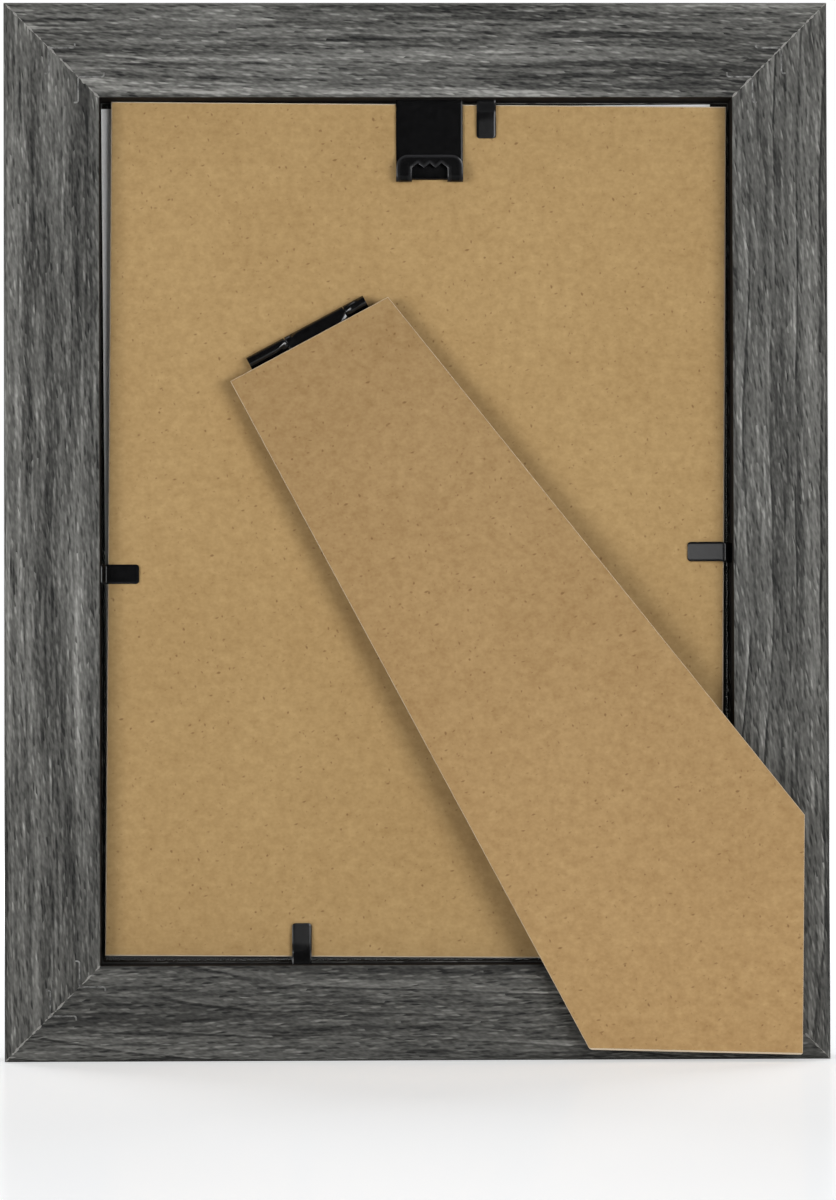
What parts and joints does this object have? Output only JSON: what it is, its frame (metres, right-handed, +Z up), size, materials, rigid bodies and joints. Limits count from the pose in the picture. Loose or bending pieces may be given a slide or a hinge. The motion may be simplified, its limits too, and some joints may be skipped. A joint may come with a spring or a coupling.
{
  "type": "easel back photo frame",
  "caption": "Mitred wood-grain photo frame seen from its back: fibreboard back held by bendable tabs, a toothed hanger and a slanted hinged easel leg for portrait or landscape.",
  "frame": {"origin": "middle of the bottom rail's underside, halfway through the moulding's depth", "axes": "+Z up, the back with leg, tabs and hanger faces -Y, the picture faces +Y, +X to the right as seen from the back"},
  "size_m": [0.173, 0.0216, 0.222],
  "materials": {
    "rail_foil": "grey wood-grain foil, satin, slightly embossed",
    "fibreboard": "raw fibreboard, matt, speckled",
    "black_steel": "black sheet steel, satin",
    "bright_steel": "bare bright steel, satin",
    "glass": "clear float glass",
    "paper": "plain white print paper, matt"
  },
  "bodies": {
    "frame": {"rail_top": "rail_foil", "rail_bottom": "rail_foil", "rail_left": "rail_foil", "rail_right": "rail_foil", "corner_v_nails": "bright_steel", "glazing": "glass", "photo_sheet": "paper", "back_board": "fibreboard", "hinge_board_leaf": "black_steel", "hinge_pin": "black_steel", "tab_top_shank": "black_steel", "tab_bottom_shank": "black_steel", "tab_left_shank": "black_steel", "tab_right_shank": "black_steel", "hanger_shank": "black_steel"},
    "leg": {"easel_leg": "fibreboard", "hinge_leg_leaf": "black_steel"},
    "tab_top": {"tab_top_finger": "black_steel"},
    "tab_bottom": {"tab_bottom_finger": "black_steel"},
    "tab_left": {"tab_left_finger": "black_steel"},
    "tab_right": {"tab_right_finger": "black_steel"},
    "hanger": {"hanger_plate": "black_steel"}
  },
  "joints": [
    {"name": "leg_hinge", "type": "hinge", "parent": "frame", "child": "leg", "pos_m": [-0.02291, -0.0032, 0.15287], "axis": [-0.8821, 0, -0.471], "range_deg": [-0.6, 26.3]},
    {"name": "tab_top_bend", "type": "hinge", "parent": "frame", "child": "tab_top", "pos_m": [0.01495, -0.003, 0.2015], "axis": [-1, 0, 0], "range_deg": [0, 75]},
    {"name": "tab_bottom_bend", "type": "hinge", "parent": "frame", "child": "tab_bottom", "pos_m": [-0.02434, -0.003, 0.0205], "axis": [1, 0, 0], "range_deg": [0, 75]},
    {"name": "tab_left_bend", "type": "hinge", "parent": "frame", "child": "tab_left", "pos_m": [-0.066, -0.003, 0.10208], "axis": [0, 0, -1], "range_deg": [0, 75]},
    {"name": "tab_right_bend", "type": "hinge", "parent": "frame", "child": "tab_right", "pos_m": [0.066, -0.003, 0.10627], "axis": [0, 0, 1], "range_deg": [0, 75]},
    {"name": "hanger_bend", "type": "hinge", "parent": "frame", "child": "hanger", "pos_m": [0.00295, -0.00215, 0.2013], "axis": [-1, 0, 0], "range_deg": [0, 75]}
  ]
}
